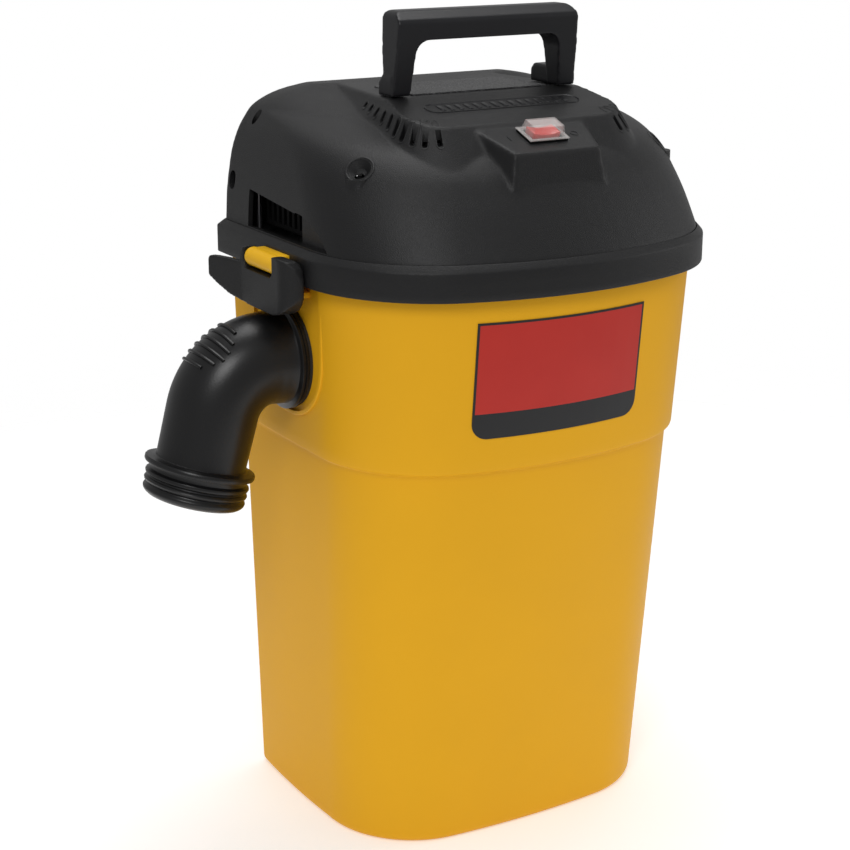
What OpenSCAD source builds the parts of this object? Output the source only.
// Wall-hung wet/dry shop vacuum: a tapered tank under a motor head, with a hose elbow on its left side.
// Frame: +Z up, X to the right seen from the front, the flat back towards +Y.
// The origin is on the floor, under the middle of the lid.

/* [Lid] */
// Width of the lid's outer band
rim_w = 298; // [248:1:360]
// Depth of the lid's outer band, from its flat back to the middle of its bowed front
rim_d = 240; // [225:1:290]
// Radius of the lid's two front corners
rim_r = 96; // [70:1:105]
// How far the front bows out past its corners
rim_bow = 8.5; // [3:0.5:12]
// Height of the band's straight face
rim_h = 19; // [16:0.5:26]
// Height and width of the chamfer on top of the band
rim_chamfer = 4.3; // [2:0.1:6]
// Thickness of the band
rim_wall = 4; // [3:0.5:5]

/* [Tank] */
// Height of the band's lower edge above the floor
rim_z = 400; // [330:1:480]
// Gap between the band and the tank wall that it covers
skirt_gap = 5; // [3:0.5:7]
// Thickness of the tank's walls
tank_wall = 3; // [2:0.1:4]
// Share of the rim height at which the tank's wall steps in
step_share = 0.7; // [0.5:0.05:0.75]
// Depth of that step
step_d = 4; // [1:0.5:6]
// How much narrower the tank is at the bottom, on each side
side_draft = 10.5; // [6:0.5:20]
// How much shallower the tank is at the bottom, all at the front
front_draft = 41; // [20:1:60]
// Radius of the tank's front corners at the bottom
base_r = 74; // [50:1:80]
// Radius of the rounded edge round the tank's base
base_edge = 6; // [4:1:14]

/* [Hood] */
// Height of the hood's crown above the band
hood_h = 91; // [84:1:112]
// Thickness of the hood's walls
hood_wall = 3; // [2.2:0.1:4]
// Half the deck's width at the back
deck_back = 61; // [54:1:66]
// Half the deck's width at the front
deck_front = 79; // [74:1:84]
// Tilt of the switch panel
panel_tilt = 20; // [12:1:24]

/* [Handle] */
// Outside width of the carrying handle
handle_w = 145; // [121:1:150]
// Height of the handle above the deck
handle_h = 55; // [46:1:70]
// Depth of the grip bar
grip_d = 20; // [18:1:26]
// Height of the grip bar
grip_h = 19; // [14:1:22]
// Width of each leg
leg_w = 13; // [10:1:16]

/* [Hose elbow] */
// Outside radius of the elbow's tube
tube_r = 31; // [25:0.1:33.5]
// Wall of the elbow's tube
tube_wall = 3.3; // [2.5:0.1:4]
// Angle through which the elbow turns
bend_angle = 74.5; // [60:0.5:80]
// Clear radius on the inside of the bend
bend_inner = 10; // [4:0.5:14]
// Length of the elbow's straight outlet
outlet_len = 63.5; // [54:0.5:78]

/* [Latches] */
// Length of the flat part of each latch lever
latch_len = 55; // [49:1:66]
// Height of each latch lever
latch_h = 39; // [37:0.5:42]
// Thickness of each latch lever
latch_t = 13.5; // [12:0.5:15]
// Length of the yellow barrel that each lever turns on
barrel_len = 41; // [34:1:45]
// Radius of that barrel
barrel_r = 6.4; // [5.3:0.1:7.7]

/* [Motor] */
// Radius of the stator's laminations
stator_r = 40; // [34:1:46]
// Height of the stator's laminations
stator_h = 24; // [20:1:26]
// Radius of the fan housing
fan_r = 62; // [56:1:74]
// Radius of the motor shaft
shaft_r = 4; // [3:0.1:5]
// Outside radius of the filter sleeve
filter_r = 66; // [58:1:72]
// Depth of the float cage below the lid
cage_d = 112; // [90:1:135]
// Radius of the float ball
ball_r = 24; // [20:1:29]

/* [Fits] */
// Radial clearance of a pin or shaft in its bore
run_gap = 0.05; // [0.02:0.01:0.1]
// Clearance between parts that move past each other
move_gap = 0.5; // [0.3:0.1:0.8]

/* [Hidden] */
$fn = 64;

// --- Plan of the lid, from which every shell is worked out
rim_back = rim_d / 2;
rim_front = -rim_d / 2;
rim_hw = rim_w / 2;
back_r = 5;
corner_steps = 10;
slab = 0.01;

// --- Heights
plate_t = 4;
rim_top = rim_z + rim_h + rim_chamfer;
plate_z = rim_z + rim_h - 1 - plate_t;
plate_top = plate_z + plate_t;
seal_h = 3.4;
tank_top = plate_z - seal_h - 0.4;
step_z = rim_z * step_share;
hood_z = plate_top + 0.2;
crown_z = rim_top + hood_h;
hood_inset = rim_chamfer + 0.4;
hood_hw = rim_hw - hood_inset;

// --- A rounded outline: flat back, straight sides, round front corners and a bowed front
function arc_pts(cx, cy, r, a0, a1, n, first, last) =
    [for (i = [first:last]) let (a = a0 + (a1 - a0) * i / n) [cx + r * cos(a), cy + r * sin(a)]];

function outline_pts(hw, back, front, r, bow) =
    let (
        half = hw - r,
        reach = (half * half + bow * bow) / (2 * bow),
        swing = asin(half / reach),
        cy = front + bow + r
    ) concat(
        arc_pts(hw - back_r, back - back_r, back_r, 0, 90, 4, 0, 4),
        arc_pts(back_r - hw, back - back_r, back_r, 90, 180, 4, 0, 4),
        arc_pts(-half, cy, r, 180, 270 - swing, corner_steps, 0, corner_steps),
        arc_pts(0, cy + reach * cos(swing), reach + r, 270 - swing, 270 + swing, 8, 1, 7),
        arc_pts(half, cy, r, 270 + swing, 360, corner_steps, 0, corner_steps)
    );

function at_height(pts, z) = [for (p = pts) [p[0], p[1], z]];

// A closed solid through rings of points, from the lowest ring to the highest
module loft(rings) {
    n = len(rings[0]);
    m = len(rings);
    polyhedron(
        points = [for (r = rings) each r],
        faces = concat(
            [[for (i = [0:n - 1]) i]],
            [for (j = [0:m - 2]) for (i = [0:n - 1])
                let (a = j * n + i, b = j * n + (i + 1) % n) each [[a, a + n, b + n], [a, b + n, b]]],
            [[for (i = [0:n - 1]) m * n - 1 - i]]
        )
    );
}

// The lid's outline, moved in by a distance
function rim_pts(inset) =
    outline_pts(rim_hw - inset, rim_back - inset, rim_front + inset, rim_r - inset, rim_bow);

module rim_slab(z, h, inset = 0) {
    translate([0, 0, z]) linear_extrude(h) polygon(rim_pts(inset));
}

// --- Tank
tank_inset = rim_wall + skirt_gap;
tank_hw = rim_hw - tank_inset;
tank_back = rim_back - rim_wall - 0.6;
tank_front = rim_front + tank_inset;
tank_r = rim_r - tank_inset;

// A ring round the tank at a height: moved in all round by inset, and by step on all but the back
function tank_ring(z, inset = 0, step = 0) =
    let (share = 1 - min(z, rim_z) / rim_z)
    at_height(outline_pts(
        tank_hw - side_draft * share - inset - step,
        tank_back - inset,
        tank_front + front_draft * share + inset + step,
        tank_r + (base_r - tank_r) * share - inset - step,
        rim_bow * (1 - 0.7 * share)), z);

module tank_form(inset, low, high) {
    loft([
        tank_ring(low, inset + base_edge, step_d),
        tank_ring(low + base_edge * 0.3, inset + base_edge * 0.3, step_d),
        tank_ring(low + base_edge, inset, step_d),
        tank_ring(step_z + inset, inset, step_d),
        tank_ring(step_z + inset + step_d * 0.4, inset),
        tank_ring(high, inset)
    ]);
}

module tank_outside() {
    tank_form(0, 0, tank_top);
}

// The inlet's flat seat: a U that is open towards the lid
inlet_y = rim_back - 88.5;
inlet_drop = 57;
inlet_z = rim_z - inlet_drop;
inlet_x = tank_hw - side_draft * inlet_drop / rim_z;
seat_hw = tube_r + 17;
seat_low = inlet_z - tube_r - 6;
seat_r = 43;
seat_depth = 1.4;
seat_x = inlet_x - seat_depth;
inlet_hole_r = tube_r - 1 + 1.2;

module seat_shape(grow = 0) {
    r = min(seat_r, seat_hw - 1) + grow;
    intersection() {
        translate([-seat_hw - grow, seat_low - grow]) square([2 * (seat_hw + grow), rim_z - seat_low]);
        union() {
            for (s = [-1, 1]) translate([s * (seat_hw + grow - r), seat_low - grow + r]) circle(r);
            translate([-seat_hw - grow + r, seat_low - grow]) square([2 * (seat_hw + grow - r), r]);
            translate([-seat_hw - grow, seat_low - grow + r]) square([2 * (seat_hw + grow), rim_z]);
        }
    }
}

module seat_block(x, h, grow) {
    translate([-x, inlet_y, 0]) rotate([90, 0, 90]) linear_extrude(h) seat_shape(grow);
}

bead_z = rim_z - 9;
bead_h = 4;
bead_out = 3;
latch_y = rim_back - 96.5;

bead_face = tank_hw + bead_out;
bead_root = 6.5;

// The bead that each latch's jaw hooks on to
module latch_bead(side) {
    translate([side * (bead_face - bead_root / 2), latch_y, bead_z])
        cube([bead_root, latch_len - 14, bead_h], center = true);
}

module tank() {
    color([0.86, 0.63, 0.10]) union() {
        difference() {
            union() {
                difference() {
                    tank_outside();
                    tank_form(tank_wall, tank_wall, tank_top + 1);
                }
                intersection() {
                    tank_outside();
                    seat_block(inlet_x, 8, 2.5);
                }
            }
            seat_block(inlet_x + 10, 10 + seat_depth, 0);
            translate([-inlet_x - 1, inlet_y, inlet_z]) rotate([0, 90, 0]) cylinder(r = inlet_hole_r, h = 20);
        }
        for (side = [-1, 1]) latch_bead(side);
    }
}

// --- Label: a thin plate that follows the tank's bowed front
label_w = 128;
label_h = 76;
label_t = 0.6;
label_z = rim_z - 58;
label_corner = 11;

module label_shape() {
    translate([-label_w / 2, label_corner - label_h / 2]) square([label_w, label_h - label_corner]);
    translate([label_corner - label_w / 2, -label_h / 2]) square([label_w - 2 * label_corner, label_h]);
    for (s = [-1, 1]) translate([s * (label_w / 2 - label_corner), label_corner - label_h / 2]) circle(label_corner);
}

module tank_label() {
    color([0.75, 0.17, 0.14]) intersection() {
        difference() {
            loft([tank_ring(step_z + step_d, -label_t), tank_ring(rim_z, -label_t)]);
            loft([tank_ring(step_z, -0.02), tank_ring(rim_z + 1, -0.02)]);
        }
        translate([0, tank_front + 20, label_z]) rotate([90, 0, 0]) linear_extrude(60) label_shape();
    }
}

// --- Inlet deflector: a scoop inside the tank that turns the air down
deflector_d = 20;
deflector_gap = 6;

module inlet_deflector() {
    x = -inlet_x + 8 + slab;
    w = 2 * tube_r + 26;
    color([0.16, 0.16, 0.17]) translate([x, inlet_y - w / 2, inlet_z - tube_r - 2]) difference() {
        cube([deflector_d + deflector_gap, w, 2 * tube_r + 10]);
        translate([-1, 2.5, -1]) cube([deflector_d + deflector_gap - 1.5, w - 5, 2 * tube_r + 8.5]);
    }
}

// --- Seal in the inlet's seat, behind the elbow's flange
flange_x = inlet_x + 1.2;
flange_t = 5;
flange_r = tube_r + 5;

module inlet_seal() {
    color([0.07, 0.07, 0.07]) translate([-seat_x - slab, inlet_y, inlet_z]) rotate([0, -90, 0]) difference() {
        cylinder(r = flange_r - 1, h = seat_depth + 1.2 - move_gap);
        translate([0, 0, -1]) cylinder(r = inlet_hole_r + 0.4, h = 10);
    }
}

// --- Elbow: a flanged spigot, a tight bend, and a threaded outlet for the hose
bend_r = tube_r + bend_inner;
neck_len = 15.5;
bore_r = tube_r - tube_wall;
collar_s = outlet_len - 27;
collar_t = 5;
collar_r = tube_r + 6.5;
thread_r = tube_r + 2.5;
spigot_r = tube_r - 1;
spigot_len = 12;

module elbow_place() {
    translate([-flange_x, inlet_y, inlet_z]) rotate([0, -90, 0]) children();
}

module outlet_place() {
    translate([bend_r * cos(bend_angle) - bend_r, 0, neck_len + bend_r * sin(bend_angle)])
        rotate([0, -bend_angle, 0]) children();
}

module bend_place() {
    translate([-bend_r, 0, neck_len]) rotate([90, 0, 0]) children();
}

module elbow() {
    color([0.12, 0.12, 0.13]) elbow_place() difference() {
        union() {
            translate([0, 0, -spigot_len]) cylinder(r = spigot_r, h = spigot_len + 1);
            cylinder(r = flange_r, h = flange_t);
            cylinder(r = tube_r, h = neck_len + 0.5);
            translate([flange_r - 3, -4, 0]) cube([5, 8, flange_t]);
            // The bend is a hair wider than the straight parts, which reach into it
            bend_place() rotate_extrude(angle = bend_angle) translate([bend_r, 0]) circle(tube_r + 0.1);
            for (k = [0:4]) bend_place() rotate([0, 0, bend_angle * (0.14 + 0.17 * k)])
                rotate_extrude(angle = 4) translate([bend_r, 0]) intersection() {
                    circle(tube_r + 1.6);
                    translate([6, -15]) square([60, 30]);
                }
            outlet_place() {
                translate([0, 0, -0.5]) cylinder(r = tube_r, h = outlet_len + 0.5);
                translate([0, 0, collar_s]) cylinder(r = collar_r, h = collar_t);
                translate([0, 0, collar_s + collar_t]) cylinder(r = thread_r, h = outlet_len - collar_s - collar_t);
            }
        }
        translate([0, 0, -spigot_len - 1]) cylinder(r = bore_r, h = spigot_len + neck_len + 1.5);
        bend_place() rotate_extrude(angle = bend_angle) translate([bend_r, 0]) circle(bore_r + 0.1);
        outlet_place() {
            translate([0, 0, -0.5]) cylinder(r = bore_r, h = outlet_len + 1.5);
            for (k = [0:1]) translate([0, 0, outlet_len - 7 - 8 * k]) difference() {
                cylinder(r = thread_r + 5, h = 3);
                translate([0, 0, -1]) cylinder(r = thread_r - 1.5, h = 5);
            }
        }
    }
}

// The snap ring that keeps the spigot in the tank's wall
clip_r = inlet_hole_r + 3;

module elbow_clip() {
    color([0.2, 0.2, 0.2]) elbow_place() translate([0, 0, -spigot_len + 0.6]) difference() {
        cylinder(r = clip_r, h = spigot_len - 0.6 - (flange_x - inlet_x) - 8 - move_gap);
        translate([0, 0, -1]) cylinder(r = spigot_r + 0.01, h = 20);
    }
}

// --- Lid: the band, its chamfer, and the plate that carries the motor
motor_y = rim_front + 126;
eye_r = fan_r - 14;

module lid() {
    color([0.13, 0.13, 0.14]) difference() {
        loft([at_height(rim_pts(0), rim_z), at_height(rim_pts(0), rim_z + rim_h),
            at_height(rim_pts(rim_chamfer), rim_top)]);
        rim_slab(rim_z - 1, plate_z - rim_z + 1, rim_wall);
        rim_slab(plate_top, 40, rim_chamfer + 0.2);
        translate([0, motor_y, plate_z - 1]) cylinder(r = eye_r, h = plate_t + 2);
        for (a = BOSSES) boss_place(a) cylinder(r = screw_r + run_gap, h = 40, center = true);
        for (a = CAGE_ANGLES) cage_place(a) cylinder(r = screw_r + run_gap, h = 40, center = true);
        for (side = [-1, 1]) translate([side * rim_hw, latch_y, tongue_z + tongue_h / 2])
            cube([2 * pocket_d, barrel_len - 4 + 0.1, tongue_h + 0.1], center = true);
    }
}

// --- Seal between the tank's lip and the lid
module lid_seal() {
    color([0.09, 0.09, 0.09]) translate([0, 0, tank_top + 0.2]) linear_extrude(seal_h) difference() {
        polygon(outline_pts(tank_hw, tank_back, tank_front, tank_r, rim_bow));
        polygon(outline_pts(tank_hw - 5, tank_back - 5, tank_front + 5, tank_r - 5, rim_bow));
    }
}

// --- Hood: rings that make the dome. Each row is a share of the hood's height, then how far the
// sides have moved in, in millimetres, then the share of the hood's depth the front has moved back
DOME = [
    [0.00, 0, 0], [0.22, 1.2, 0.056], [0.385, 3.3, 0.102], [0.55, 6.3, 0.156], [0.69, 11.3, 0.235],
    [0.78, 16.5, 0.36], [0.857, 22.3, 0.56], [0.923, 33.3, 0.75], [0.967, 46.3, 0.86], [1.00, 64.3, 0.90]
];
hood_d = rim_d - 2 * hood_inset;

function dome_ring(row, inset) =
    let (
        back = rim_back - hood_inset - inset - 9 * max(0, row[0] - 0.8),
        front = rim_front + hood_inset + inset + row[2] * hood_d,
        depth = back - front,
        hw = hood_hw - row[1] - inset,
        r = max(3, min(rim_r - hood_inset - inset, hw - 20, depth - back_r - 2 - rim_bow))
    ) at_height(outline_pts(hw, back, front, r, rim_bow * (1 - 0.5 * row[0])), rim_top + row[0] * hood_h - inset);

module dome(inset = 0) {
    base = at_height(rim_pts(hood_inset + inset), hood_z - inset);
    rows = [for (row = DOME) if (inset == 0 || row[0] > 0.1) dome_ring(row, inset)];
    loft(concat([base], rows));
}

// --- Deck: the raised plateau that carries the handle
deck_edge_y = rim_front + 84;
deck_edge_z = crown_z - 10;
deck_crest_y = deck_edge_y + 42;
deck_crest_z = crown_z - 0.5;
deck_low_z = crown_z - 30;

// A side view of the deck's top, and a plan of its edge with its walls leaning out
function deck_plan(back_hw, front_hw, front, r) =
    let (
        back = rim_back - hood_inset - 1.5,
        lean = atan((front_hw - back_hw) / (back - front))
    ) concat(
        [[back_hw, back], [-back_hw, back]],
        arc_pts(r - front_hw, front + r, r, 180 - lean, 270, 8, 0, 8),
        arc_pts(front_hw - r, front + r, r, 270, 360 + lean, 8, 0, 8)
    );

function deck_top(y) =
    y > deck_crest_y ? deck_crest_z + (crown_z - deck_crest_z) * (y - deck_crest_y) / (rim_back - deck_crest_y)
    : deck_edge_z + (deck_crest_z - deck_edge_z) * (y - deck_edge_y) / (deck_crest_y - deck_edge_y);

module deck(inset = 0) {
    intersection() {
        loft([
            at_height(deck_plan(deck_back + 24 - inset, deck_front + 14 - inset, deck_edge_y - 26 + inset, 34),
                deck_low_z),
            at_height(deck_plan(deck_back - inset, deck_front - inset, deck_edge_y + inset, 17), crown_z + 1)
        ]);
        rotate([90, 0, 90]) linear_extrude(400, center = true) polygon([
            [deck_edge_y - 60, deck_low_z], [rim_back - hood_inset - 1.5 - inset, deck_low_z],
            [rim_back - hood_inset - 1.5 - inset, crown_z - inset], [deck_crest_y, deck_crest_z - inset],
            [deck_edge_y, deck_edge_z - inset], [deck_edge_y - 40, deck_edge_z - 12 - inset]
        ]);
    }
}

// --- Switch panel: a wedge that stands out of the hood in front of the deck
panel_y = rim_front + 55.5;
panel_z = crown_z - 21.7;
panel_half = 20.5;
panel_drop = 34;

module panel_place() {
    translate([0, panel_y, panel_z]) rotate([panel_tilt, 0, 0]) children();
}

module panel(inset = 0) {
    front = panel_half * cos(panel_tilt);
    rise = panel_half * sin(panel_tilt);
    intersection() {
        rotate([90, 0, 90]) linear_extrude(200, center = true) polygon([
            [panel_y - front + inset, panel_z - rise - inset],
            [panel_y - front - 4 + inset, panel_z - panel_drop],
            [panel_y + front + 30, panel_z - panel_drop],
            [panel_y + front + 30, panel_z + rise + 3 - inset],
            [panel_y + front, panel_z + rise - inset]
        ]);
        loft([
            panel_plan(panel_z - panel_drop - 1, 8 - inset),
            panel_plan(crown_z + 2, -4 - inset)
        ]);
    }
}

function panel_plan(z, grow) = at_height([
    [60 + grow, panel_y + 60], [-60 - grow, panel_y + 60],
    [-28 - grow, panel_y - 26], [28 + grow, panel_y - 26]
], z);

// --- Screws: bosses through the dome's corners down to the lid
screw_r = 2;
BOSSES = [[-1, 0], [1, 0], [-1, 1], [1, 1]];
boss_front = [rim_hw - 31, rim_front + 86];
boss_rear = [rim_hw - 22, rim_back - 26];
boss_r = 7.5;
boss_floor = 30;

module boss_place(a) {
    at = a[1] == 0 ? boss_front : boss_rear;
    translate([a[0] * at[0], at[1], hood_z]) children();
}

// --- The exhaust opening in each side, with a window through its inner wall
vent_back = rim_back - 44;
vent_front = rim_back - 113.5;
vent_h = 24;
vent_deep = 12;
vent_low = rim_top - hood_z + 1;
vent_wall = 2;

module vent_rect(grow) {
    translate([vent_front - grow, vent_low - grow]) square([vent_back - vent_front + 2 * grow, vent_h + 2 * grow]);
}

module vent_arc() {
    r = 52;
    intersection() {
        translate([vent_front, vent_low + 20 - r]) circle(r);
        translate([vent_front - 50, vent_low]) square([50.1, 30]);
    }
}

module vent_place(side, x) {
    mirror([side > 0 ? 0 : 1, 0, 0]) translate([x, 0, hood_z]) rotate([90, 0, 90]) children();
}

// --- Louvres in the deck's sloping walls
louvre_n = 9;
louvre_pitch = 7.6;

module louvres() {
    for (side = [-1, 1]) for (i = [0:louvre_n - 1])
        translate([side * (deck_front + 6), deck_edge_y + 12 + i * louvre_pitch, deck_edge_z - 9 + i * 1.2])
            cube([30, 3, 15 - i * 1.3], center = true);
}

module hood() {
    color([0.14, 0.14, 0.15]) difference() {
        union() {
            difference() {
                union() {
                    dome();
                    deck();
                    panel();
                }
                union() {
                    dome(hood_wall);
                    deck(hood_wall);
                    panel(hood_wall);
                }
            }
            intersection() {
                dome();
                union() {
                    for (a = BOSSES) boss_place(a) cylinder(r = boss_r, h = 90);
                    for (side = [-1, 1]) vent_place(side, hood_hw - vent_deep - vent_wall)
                        linear_extrude(vent_deep + vent_wall) vent_rect(vent_wall);
                }
            }
        }
        for (a = BOSSES) boss_place(a) {
            translate([0, 0, -1]) cylinder(r = screw_r + run_gap, h = 60);
            translate([0, 0, boss_floor]) cylinder(r = boss_r - 2.5, h = 90);
        }
        for (side = [-1, 1]) {
            vent_place(side, hood_hw - vent_deep) linear_extrude(vent_deep + 4) vent_rect(0);
            vent_place(side, hood_hw - vent_deep - vent_wall - 1) linear_extrude(vent_wall + 2) vent_rect(-3);
            vent_place(side, hood_hw - hood_wall * 0.4) linear_extrude(10) vent_arc();
        }
        louvres();
        panel_place() cube([switch_w + 0.4, switch_d + 0.4, 30], center = true);
        for (s = [-1, 1]) handle_screw_place(s) cylinder(r = screw_r + run_gap, h = 20, center = true);
        translate([cord_x, rim_back, cord_z]) rotate([90, 0, 0]) cylinder(r = cord_r, h = 20, center = true);
        for (s = [-1, 1]) translate([s * hang_x, rim_back, hang_z]) rotate([90, 0, 0]) {
            cylinder(r = hang_r, h = 20, center = true);
            translate([0, hang_r, 0]) cube([hang_r, 2 * hang_r, 20], center = true);
        }
        badge_place() translate([0, 0, -badge_t]) linear_extrude(5) badge_shape(0);
    }
}

// --- Hanging keyholes and the cord's outlet in the back wall
hang_x = 90;
hang_z = rim_top + 40;
hang_r = 6;
cord_x = -40;
cord_z = rim_top + 22;
cord_r = 8;

module cord_grommet() {
    color([0.08, 0.08, 0.08]) translate([cord_x, rim_back - hood_inset + 1.6, cord_z]) rotate([90, 0, 0])
        difference() {
            union() {
                cylinder(r = cord_r - 0.01, h = hood_wall + 3.2);
                cylinder(r = cord_r + 3, h = 1.59);
                translate([0, 0, hood_wall + 1.7]) cylinder(r = cord_r + 2, h = 1.5);
            }
            translate([0, 0, -1]) cylinder(r = 4, h = 20);
        }
}

module hood_screws() {
    color([0.25, 0.25, 0.26]) for (a = BOSSES) boss_place(a) {
        translate([0, 0, -plate_t - 1]) cylinder(r = screw_r, h = boss_floor + plate_t + 1.1);
        translate([0, 0, boss_floor + slab]) difference() {
            cylinder(r = 4, h = 2.4);
            translate([0, 0, 2]) cube([1, 5, 2], center = true);
            translate([0, 0, 2]) cube([5, 1, 2], center = true);
        }
    }
}

// --- Badge: a plain ribbed plate let into the deck in front of the handle
badge_t = 1.2;

module badge_place() {
    slope = atan((deck_crest_z - deck_edge_z) / (deck_crest_y - deck_edge_y));
    translate([0, deck_edge_y, deck_edge_z]) rotate([slope, 0, 0]) translate([0, 18, 0]) children();
}

module badge_shape(gap) {
    translate([-52, gap - 8]) square([104, 16 - 2 * gap]);
    for (s = [-1, 1]) translate([s * 52, 0]) circle(8 - gap);
}

module deck_badge() {
    color([0.10, 0.10, 0.11]) badge_place() translate([0, 0, slab - badge_t]) difference() {
        linear_extrude(badge_t + 0.2) badge_shape(0.1);
        for (i = [-3:3]) translate([i * 15, 0, badge_t + 0.2]) cube([8, 9, 1], center = true);
    }
}

// --- Handle: one moulded loop with feet that run back over the deck
leg_d = 13;
leg_y = deck_crest_y - 3;
foot_end = leg_y + 36;
foot_h = 6;
handle_z = crown_z + 0.3;
grip_lean = 6;

module handle_side() {
    polygon([[leg_y, 0], [leg_y + leg_d, 0], [leg_y + leg_d + 4, handle_h - grip_h], [leg_y + grip_d - 3, handle_h],
        [leg_y - grip_lean + 9, handle_h], [leg_y - grip_lean, handle_h - 7], [leg_y - 5, handle_h - grip_h]]);
}

// A front view of the loop, filled, with rounded upper corners
module loop_face(hw, top, r, lean) {
    polygon(concat(
        [[-hw, -6], [hw, -6]],
        arc_pts(hw - lean - r, top - r, r, 0, 90, 6, 0, 6),
        arc_pts(lean + r - hw, top - r, r, 90, 180, 6, 0, 6)
    ));
}

module handle() {
    color([0.11, 0.11, 0.13]) difference() {
        union() {
            translate([0, 0, handle_z]) intersection() {
                rotate([90, 0, 90]) linear_extrude(handle_w + 2, center = true) handle_side();
                rotate([90, 0, 0]) linear_extrude(400, center = true) difference() {
                    loop_face(handle_w / 2, handle_h, 6, 2);
                    loop_face(handle_w / 2 - leg_w, handle_h - grip_h, 10, 3);
                }
            }
            for (s = [-1, 1]) translate([s * (handle_w - leg_w) / 2, (leg_y + foot_end) / 2 + 1, handle_z + foot_h / 2])
                cube([leg_w, foot_end - leg_y - 2, foot_h], center = true);
        }
        for (s = [-1, 1]) handle_screw_place(s) cylinder(r = screw_r + run_gap, h = 9, center = true);
    }
}

module handle_screw_place(s) {
    translate([s * (handle_w - leg_w) / 2, foot_end - 12, handle_z]) children();
}

module handle_screws() {
    color([0.6, 0.6, 0.62]) for (s = [-1, 1]) handle_screw_place(s) {
        translate([0, 0, -hood_wall - 2]) cylinder(r = screw_r, h = hood_wall + 6);
        translate([0, 0, -hood_wall - 3.4]) cylinder(r = 4, h = 2);
    }
}

module exhaust_grille(side) {
    color([0.12, 0.12, 0.12]) vent_place(side, hood_hw - vent_deep - vent_wall - 2.1) difference() {
        linear_extrude(2) vent_rect(-1);
        for (i = [0:7]) translate([vent_front + 8 + i * 7.6, vent_low + 4, -1]) cube([4, vent_h - 8, 5]);
    }
}

module exhaust_grille_left() {
    exhaust_grille(-1);
}

module exhaust_grille_right() {
    exhaust_grille(1);
}

// --- Switch: a rocker in its body, under a clear boot
switch_w = 26;
switch_d = 15;
switch_deep = 17;
switch_flange = 1.5;
rocker_hw = switch_w / 2 - 2.6;
rocker_hd = switch_d / 2 - 2;
rocker_axis = -1.5;
switch_pin_r = 1.2;

module switch_body() {
    color([0.06, 0.06, 0.06]) panel_place() difference() {
        union() {
            translate([0, 0, -switch_deep / 2 + 0.5]) cube([switch_w, switch_d, switch_deep + 1], center = true);
            translate([0, 0, switch_flange / 2 + slab]) cube([switch_w + 3, switch_d + 3, switch_flange], center = true);
        }
        translate([0, 0, 1]) cube([2 * rocker_hw + 1.6, 2 * rocker_hd + 2 * move_gap, 25], center = true);
        translate([0, 0, rocker_axis]) rotate([90, 0, 0])
            cylinder(r = switch_pin_r + run_gap, h = switch_d - 1, center = true);
    }
}

module switch_rocker() {
    color([0.80, 0.10, 0.06]) panel_place() rotate([90, 0, 0]) difference() {
        linear_extrude(2 * rocker_hd, center = true) polygon([
            [-rocker_hw, 5.2], [-6, 3.8], [0, 3.4], [6, 3.8], [rocker_hw, 5.2],
            [rocker_hw - 0.6, 0], [4, -7], [-4, -7], [0.6 - rocker_hw, 0]
        ]);
        translate([0, rocker_axis, 0]) cylinder(r = switch_pin_r + run_gap, h = 40, center = true);
    }
}

module switch_pin() {
    color([0.7, 0.7, 0.72]) panel_place() translate([0, 0, rocker_axis]) rotate([90, 0, 0])
        cylinder(r = switch_pin_r, h = switch_d - 1.5, center = true);
}

module switch_boot() {
    color([0.85, 0.82, 0.78, 0.45]) panel_place() translate([0, 0, switch_flange + 2 * slab]) difference() {
        union() {
            translate([0, 0, 0.6]) cube([switch_w + 5, switch_d + 5, 1.2], center = true);
            translate([0, 0, 4.5]) cube([switch_w, switch_d, 9], center = true);
        }
        translate([0, 0, 3]) cube([switch_w - 3, switch_d - 3, 9], center = true);
    }
}

module switch_terminals() {
    color([0.8, 0.65, 0.3]) panel_place() for (i = [-1:1])
        translate([i * 8, 0, -switch_deep - 4 - slab]) cube([1, 6, 8], center = true);
}

// --- Latches: a lever on a barrel that is fixed to the band
knuckle_r = barrel_r + 0.6;
lever_in = rim_hw + 2 * move_gap;
barrel_x = lever_in + knuckle_r;
barrel_z = rim_z + 11;
pin_r = 2;
lever_out = lever_in + latch_t;
lever_back = latch_len / 2 - 1.5;
lever_front = lever_back - latch_len;
lever_mid = (lever_back + lever_front) / 2;
lever_low = barrel_z + knuckle_r - latch_h;
nose_len = 12;
jaw_x = bead_face + move_gap;
tongue_z = rim_z + 13.6;
tongue_h = 3.4;
pocket_d = 2;
tab_len = 33;
tab_out = 9;
tab_t = 5;

module latch_side(side) {
    mirror([side > 0 ? 0 : 1, 0, 0]) translate([0, latch_y, 0]) children();
}

module latch_axis(len, r) {
    translate([barrel_x, 0, barrel_z]) rotate([90, 0, 0]) cylinder(r = r, h = len, center = true);
}

// The lever from above: a flat face, a nose that curves back to the band, and a tab that flares out
module lever_plan() {
    polygon(concat(
        [[lever_in, lever_back], [lever_in, lever_front - nose_len]],
        [for (i = [1:8]) let (t = 11.25 * i) [lever_in + latch_t * sin(t), lever_front - nose_len * cos(t)]],
        [[lever_out, lever_back], [lever_out + tab_out, lever_back + tab_len],
            [lever_out + tab_out - tab_t, lever_back + tab_len], [lever_out - tab_t, lever_back + 1]]
    ));
}

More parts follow.
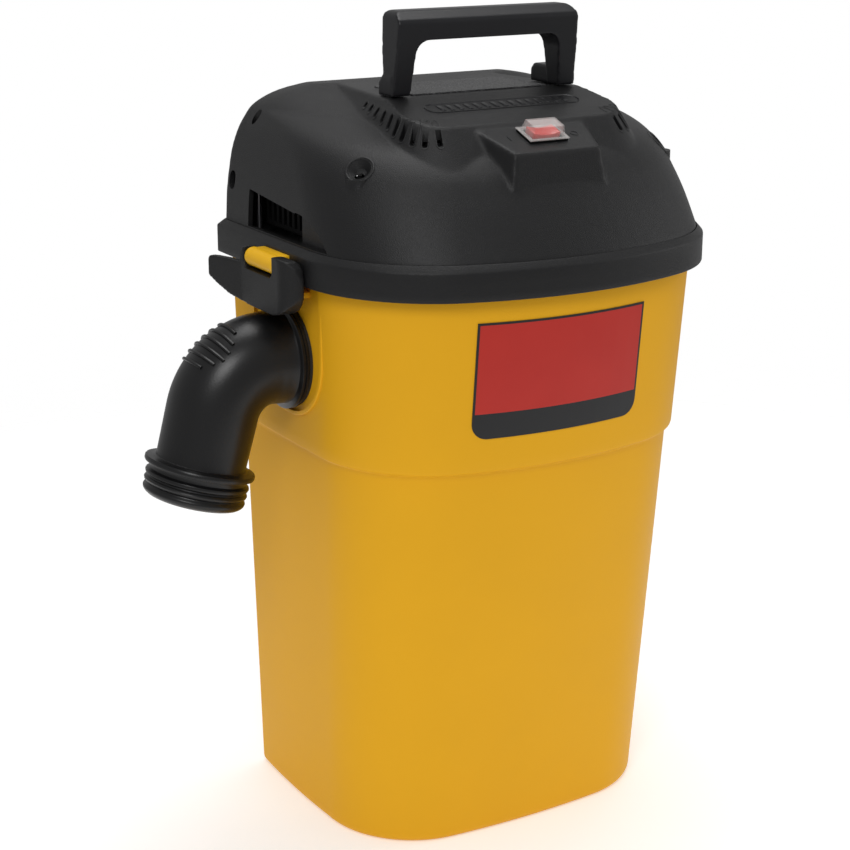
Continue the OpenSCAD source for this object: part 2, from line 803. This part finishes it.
// The lever from the side: its bottom edge rises towards both ends
module lever_side() {
    polygon([
        [lever_front - nose_len, lever_low + 14], [lever_front - nose_len / 2, lever_low + 6],
        [lever_front, lever_low + 2], [lever_front + 9, lever_low], [lever_back, lever_low + 1],
        [lever_back + tab_len / 2, lever_low + 5], [lever_back + tab_len, lever_low + 14],
        [lever_back + tab_len, lever_low + 27], [lever_back + tab_len / 2, lever_low + 28],
        [lever_back, lever_low + 27], [lever_back, barrel_z], [lever_front - nose_len, barrel_z]
    ]);
}

module latch(side) {
    color([0.13, 0.13, 0.13]) latch_side(side) difference() {
        union() {
            intersection() {
                linear_extrude(rim_z * 2) lever_plan();
                rotate([90, 0, 90]) linear_extrude(rim_hw * 2) lever_side();
            }
            translate([0, lever_mid, 0]) latch_axis(latch_len, knuckle_r);
            // The jaw
            translate([jaw_x, lever_front + 14, lever_low + 3])
                cube([lever_in - jaw_x + 1, latch_len - 26, bead_z + bead_h / 2 - lever_low - 2]);
        }
        translate([barrel_x - 20, -barrel_len / 2 - move_gap, barrel_z - barrel_r - move_gap])
            cube([40, barrel_len + 2 * move_gap, 40]);
        translate([0, lever_mid, 0]) latch_axis(latch_len - 2 + 2 * move_gap, pin_r + run_gap);
    }
}

module latch_left() {
    latch(-1);
}

module latch_right() {
    latch(1);
}

module latch_barrel(side) {
    color([0.92, 0.72, 0.08]) latch_side(side) difference() {
        union() {
            latch_axis(barrel_len, barrel_r - 0.5);
            for (i = [0:6]) translate([0, (i - 3) * (barrel_len - 3) / 6, 0]) latch_axis(3, barrel_r);
            translate([rim_hw - pocket_d + slab, 2 - barrel_len / 2, tongue_z])
                cube([barrel_x - rim_hw + pocket_d, barrel_len - 4, tongue_h]);
        }
        latch_axis(barrel_len + 2, pin_r + slab);
    }
}

module latch_barrel_left() {
    latch_barrel(-1);
}

module latch_barrel_right() {
    latch_barrel(1);
}

module latch_pin(side) {
    color([0.7, 0.7, 0.72]) latch_side(side) translate([0, lever_mid, 0])
        latch_axis(latch_len - 2, pin_r);
}

module latch_pin_left() {
    latch_pin(-1);
}

module latch_pin_right() {
    latch_pin(1);
}

// --- Motor, all on one vertical axis
gasket_t = 2;
fan_z = plate_top + gasket_t;
fan_h = 25;
fan_wall = 1.6;
bracket_z = fan_z + fan_h + 0.1;
bracket_t = 3;
stator_z = bracket_z + 13.5;
coil_h = 5;
core_gap = 1;
armature_r = stator_r * 0.56;
comm_z = stator_z + stator_h + coil_h + 1;
comm_h = 7.5;
comm_r = 11;
bearing_r = 9;
bearing_h = 6;
top_z = comm_z + comm_h + 1.2;
post_at = stator_r + 6;
post_r = 4;

module motor_at(z) {
    translate([0, motor_y, z]) children();
}

module ring(outer, inner, h) {
    difference() {
        cylinder(r = outer, h = h);
        translate([0, 0, -1]) cylinder(r = inner, h = h + 2);
    }
}

module motor_gasket() {
    color([0.1, 0.1, 0.1]) motor_at(plate_top) ring(fan_r - 1, eye_r + 1, gasket_t - slab);
}

module fan_housing() {
    color([0.72, 0.73, 0.75]) motor_at(fan_z) difference() {
        cylinder(r = fan_r, h = fan_h);
        translate([0, 0, fan_wall]) cylinder(r = fan_r - fan_wall, h = fan_h);
        translate([0, 0, -1]) cylinder(r = 22, h = 5);
        for (i = [0:7]) rotate([0, 0, i * 45]) translate([fan_r, 0, 14]) cube([10, 22, 12], center = true);
    }
}

impeller_z = fan_z + 5;
impeller_h = 15;
impeller_r = fan_r - 6;

module impeller() {
    color([0.78, 0.79, 0.8]) motor_at(impeller_z) difference() {
        union() {
            ring(impeller_r, 20, 1.2);
            translate([0, 0, impeller_h - 1.2]) cylinder(r = impeller_r, h = 1.2);
            cylinder(r = shaft_r + 5, h = impeller_h + 3);
            for (i = [0:8]) rotate([0, 0, i * 40]) translate([18, 0, 0.6]) rotate([0, 0, 24])
                cube([impeller_r - 23, 1.4, impeller_h - 1.2]);
        }
        translate([0, 0, -1]) cylinder(r = shaft_r + slab, h = impeller_h + 10);
    }
}

module motor_shaft() {
    color([0.7, 0.7, 0.72]) motor_at(impeller_z - 5) cylinder(r = shaft_r, h = top_z + bearing_h - 0.2 - impeller_z + 5);
}

module shaft_nut() {
    color([0.65, 0.65, 0.67]) motor_at(impeller_z - 4 - slab) difference() {
        cylinder(r = shaft_r * 1.9, h = 4, $fn = 6);
        translate([0, 0, -1]) cylinder(r = shaft_r + slab, h = 10);
    }
}

module bearing(z) {
    color([0.75, 0.76, 0.78]) motor_at(z) ring(bearing_r, shaft_r + run_gap, bearing_h);
}

module bearing_lower() {
    bearing(bracket_z + 1);
}

module bearing_upper() {
    bearing(top_z);
}

module motor_bracket_lower() {
    color([0.66, 0.67, 0.69]) motor_at(bracket_z) difference() {
        union() {
            cylinder(r = fan_r, h = bracket_t);
            cylinder(r = bearing_r + 3, h = bearing_h + 2);
            for (i = [0:3]) rotate([0, 0, 45 + 90 * i]) translate([post_at, 0, 0]) cylinder(r = post_r, h = stator_z - bracket_z + 4);
        }
        translate([0, 0, 1]) cylinder(r = bearing_r + slab, h = 20);
        translate([0, 0, -1]) cylinder(r = shaft_r + 1.5, h = 5);
        for (i = [0:3]) rotate([0, 0, 90 * i]) translate([30, 0, 0]) cylinder(r = 9, h = 20, center = true);
        for (i = [0:3]) rotate([0, 0, 45 + 90 * i]) translate([post_at, 0, -1]) cylinder(r = screw_r - slab, h = 60);
    }
}

module motor_bracket_upper() {
    base = stator_z + 4 + slab;
    color([0.66, 0.67, 0.69]) difference() {
        union() {
            for (i = [0:3]) motor_at(base) rotate([0, 0, 45 + 90 * i]) translate([post_at, 0, 0])
                cylinder(r = post_r, h = top_z + bracket_t - base);
            for (a = [45, 135]) motor_at(top_z + bracket_t / 2) rotate([0, 0, a])
                cube([2 * post_at, 7, bracket_t], center = true);
            motor_at(top_z) cylinder(r = bearing_r + 3, h = bearing_h + 1.5);
            motor_at(top_z) ring(34, 27, bracket_t);
        }
        motor_at(top_z - 1) cylinder(r = bearing_r + slab, h = bearing_h + 1);
        for (i = [0:3]) motor_at(base - 1) rotate([0, 0, 45 + 90 * i]) translate([post_at, 0, 0])
            cylinder(r = screw_r + run_gap, h = 90);
    }
}

module bracket_screws() {
    color([0.55, 0.55, 0.57]) for (i = [0:3]) motor_at(stator_z - 6) rotate([0, 0, 45 + 90 * i])
        translate([post_at, 0, 0]) {
            cylinder(r = screw_r - 2 * slab, h = top_z + bracket_t - stator_z + 7);
            translate([0, 0, top_z + bracket_t - stator_z + 6 + slab]) cylinder(r = 3.5, h = 2);
        }
}

module stator() {
    color([0.45, 0.46, 0.48]) motor_at(stator_z) difference() {
        cylinder(r = stator_r, h = stator_h);
        translate([0, 0, -1]) cylinder(r = armature_r + core_gap, h = stator_h + 2);
        for (s = [-1, 1]) translate([s * (armature_r + 2), 0, stator_h / 2]) cube([14, 30, stator_h + 2], center = true);
    }
}

// Two saddle coils that pass through the stator's windows
module field_coils() {
    inner = armature_r + core_gap + 1;
    color([0.72, 0.38, 0.16]) motor_at(stator_z) for (s = [-1, 1]) rotate([0, 0, s * 90 - 90]) difference() {
        translate([0, 0, -coil_h]) ring(inner + 6, inner, stator_h + 2 * coil_h);
        translate([-50, -50, -50]) cube([50 + inner - 9, 100, 200]);
        for (t = [-1, 1]) translate([-50, t * 64.3 - 50, -50]) cube([200, 100, 200]);
    }
}

module armature_core() {
    color([0.4, 0.41, 0.43]) motor_at(stator_z) difference() {
        cylinder(r = armature_r, h = stator_h);
        translate([0, 0, -1]) cylinder(r = shaft_r + slab, h = stator_h + 2);
        for (i = [0:11]) rotate([0, 0, i * 30]) translate([armature_r, 0, stator_h / 2]) cube([5, 1.6, stator_h + 2], center = true);
    }
}

module armature_windings() {
    color([0.72, 0.36, 0.14]) for (z = [stator_z - coil_h, stator_z + stator_h + slab])
        motor_at(z) ring(armature_r - 3, shaft_r + 2, coil_h - 2 * slab);
}

module commutator() {
    color([0.75, 0.45, 0.25]) motor_at(comm_z) difference() {
        cylinder(r = comm_r, h = comm_h);
        translate([0, 0, -1]) cylinder(r = shaft_r + slab, h = comm_h + 2);
        for (i = [0:11]) rotate([0, 0, i * 30]) translate([comm_r, 0, 0]) cube([2, 0.6, 30], center = true);
    }
}

brush_w = 6;
brush_h = 4.5;
holder_wall = 1.5;
brush_x = comm_r + 0.3;

module brush_side(s) {
    motor_at(comm_z + comm_h / 2) mirror([s > 0 ? 0 : 1, 0, 0]) children();
}

module brush_holders() {
    color([0.78, 0.62, 0.3]) for (s = [-1, 1]) brush_side(s) difference() {
        translate([comm_r + 3, -brush_w / 2 - holder_wall, -brush_h / 2 - holder_wall])
            cube([22, brush_w + 2 * holder_wall, top_z - comm_z - comm_h / 2 + brush_h / 2 + holder_wall - slab]);
        translate([0, -brush_w / 2 - 0.1, -brush_h / 2 - 0.1]) cube([comm_r + 23, brush_w + 0.2, brush_h + 0.2]);
    }
}

module carbon_brushes() {
    color([0.15, 0.15, 0.15]) for (s = [-1, 1]) brush_side(s)
        translate([brush_x, -brush_w / 2, -brush_h / 2]) cube([15, brush_w, brush_h]);
}

module brush_springs() {
    color([0.6, 0.6, 0.62]) for (s = [-1, 1]) brush_side(s)
        translate([brush_x + 15 + slab, 0, 0]) rotate([0, 90, 0]) cylinder(r = 1.8, h = comm_r + 23 - brush_x - 15 - 2 * slab);
}

// --- Float cage, ball and filter under the lid
CAGE_ANGLES = [45, 135, 225, 315];
cage_r = filter_r - 14;
cage_wall = 2.5;
cage_flange_r = filter_r - 4;
cage_flange_t = 3;
cage_top = plate_z - slab;
cage_low = plate_z - cage_d;
seat_hole_r = ball_r - 4;
cage_screw_at = (eye_r + cage_flange_r) / 2 + 1;

module cage_place(a) {
    translate([0, motor_y, plate_z]) rotate([0, 0, a]) translate([cage_screw_at, 0, 0]) children();
}

module float_cage() {
    h = cage_top - cage_low;
    color([0.15, 0.15, 0.16]) motor_at(cage_low) difference() {
        union() {
            ring(cage_r, cage_r - cage_wall, h);
            cylinder(r = cage_r, h = cage_wall);
            translate([0, 0, h - cage_flange_t]) ring(cage_flange_r, seat_hole_r, cage_flange_t);
            for (i = [0:3]) rotate([0, 0, 45 + 90 * i]) translate([ball_r + move_gap, -1, 1])
                cube([cage_r - ball_r - move_gap - 1, 2, h - 2]);
        }
        for (i = [0:7]) for (k = [0, 1]) rotate([0, 0, 22.5 + 45 * i]) translate([cage_r, 0, 8 + (k + 0.5) * (h - 16) / 2])
            cube([14, 26, (h - 28) / 2], center = true);
        for (a = CAGE_ANGLES) rotate([0, 0, a]) translate([cage_screw_at, 0, 0]) cylinder(r = screw_r + run_gap, h = 200);
    }
}

module float_ball() {
    color([0.9, 0.9, 0.88]) motor_at(cage_low + cage_wall + ball_r + 0.3) sphere(r = ball_r);
}

module cage_screws() {
    color([0.55, 0.55, 0.57]) for (a = CAGE_ANGLES) cage_place(a) {
        translate([0, 0, -cage_flange_t - 1]) cylinder(r = screw_r, h = plate_t + cage_flange_t);
        translate([0, 0, -cage_flange_t - 3]) cylinder(r = 3.5, h = 2.5 - slab);
    }
}

sleeve_top = plate_z - cage_flange_t - 6;
sleeve_in = cage_r + move_gap;

module filter_sleeve() {
    color([0.2, 0.2, 0.22]) motor_at(cage_low - 12) difference() {
        cylinder(r = filter_r, h = sleeve_top - cage_low + 12);
        translate([0, 0, 12 - move_gap]) cylinder(r = sleeve_in, h = 200);
    }
}

module filter_band() {
    color([0.75, 0.2, 0.15]) motor_at(sleeve_top - 12) ring(filter_r + 1.5, filter_r + slab, 5);
}

tank();
tank_label();
inlet_deflector();
inlet_seal();
lid();
lid_seal();
hood();
hood_screws();
deck_badge();
handle();
handle_screws();
exhaust_grille_left();
exhaust_grille_right();
cord_grommet();
switch_body();
switch_rocker();
switch_pin();
switch_boot();
switch_terminals();
elbow();
elbow_clip();
latch_left();
latch_right();
latch_barrel_left();
latch_barrel_right();
latch_pin_left();
latch_pin_right();
fan_housing();
motor_gasket();
impeller();
motor_shaft();
shaft_nut();
bearing_lower();
bearing_upper();
motor_bracket_lower();
motor_bracket_upper();
bracket_screws();
stator();
field_coils();
armature_core();
armature_windings();
commutator();
brush_holders();
carbon_brushes();
brush_springs();
float_cage();
float_ball();
filter_sleeve();
filter_band();
cage_screws();
